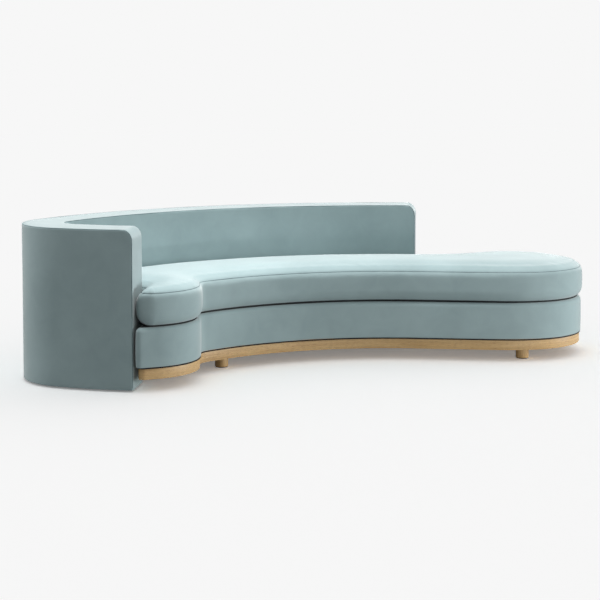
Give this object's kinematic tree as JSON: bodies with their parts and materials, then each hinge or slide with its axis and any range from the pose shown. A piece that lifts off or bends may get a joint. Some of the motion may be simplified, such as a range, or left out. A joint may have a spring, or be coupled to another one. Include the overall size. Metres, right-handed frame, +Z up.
{
  "type": "chaise longue",
  "caption": "Curved one-arm chaise sofa with a wrap-round upholstered back, a kidney-shaped seat with a loose cushion, and a bent oak plinth on short round feet.",
  "frame": {"origin": "on the floor, under the middle of the sofa's bounding box", "axes": "+X from the arm to the round chaise end, +Y to the back, +Z up"},
  "size_m": [2.8218, 1.1358, 0.72],
  "materials": {
    "velvet": "short-pile velvet",
    "oak": "matt oiled oak",
    "foam": "cut foam",
    "fibre": "soft wadding",
    "webbing": "woven",
    "steel": "zinc plated",
    "plastic": "matt",
    "beech": "sawn",
    "plywood": "raw plywood"
  },
  "bodies": {
    "sofa": {"arm_end_foam": "foam", "back_end_foam": "foam", "base_cover": "velvet", "base_front_rail": "plywood", "base_pad": "foam", "base_rear_rail": "plywood", "cross_rail_1": "beech", "cross_rail_2": "beech", "cross_rail_3": "beech", "cross_rail_4": "beech", "cross_rail_5": "beech", "cross_rail_6": "beech", "feet": "oak", "foot_bolts": "steel", "plinth_board": "plywood", "plinth_front": "oak", "plinth_rear": "oak", "seat_webbing": "webbing", "tie_bolts": "steel", "tie_nuts": "steel", "wall_bottom_rail": "plywood", "wall_cover": "velvet", "wall_glides": "plastic", "wall_inner_foam": "foam", "wall_inner_panel": "plywood", "wall_outer_skin": "plywood", "wall_top_foam": "foam", "wall_top_rail": "plywood", "wall_upright_1": "beech", "wall_upright_2": "beech", "wall_upright_3": "beech", "wall_upright_4": "beech", "wall_upright_5": "beech", "wall_upright_6": "beech", "wall_upright_7": "beech", "wall_upright_8": "beech"},
    "cushion": {"cushion_cover": "velvet", "cushion_core": "foam", "cushion_fibre": "fibre", "cushion_zip": "plastic"}
  },
  "joints": [
    {"name": "cushion_lift", "type": "slide", "parent": "sofa", "child": "cushion", "axis": [0, 0, 1], "range_m": [0, 0.45]}
  ]
}
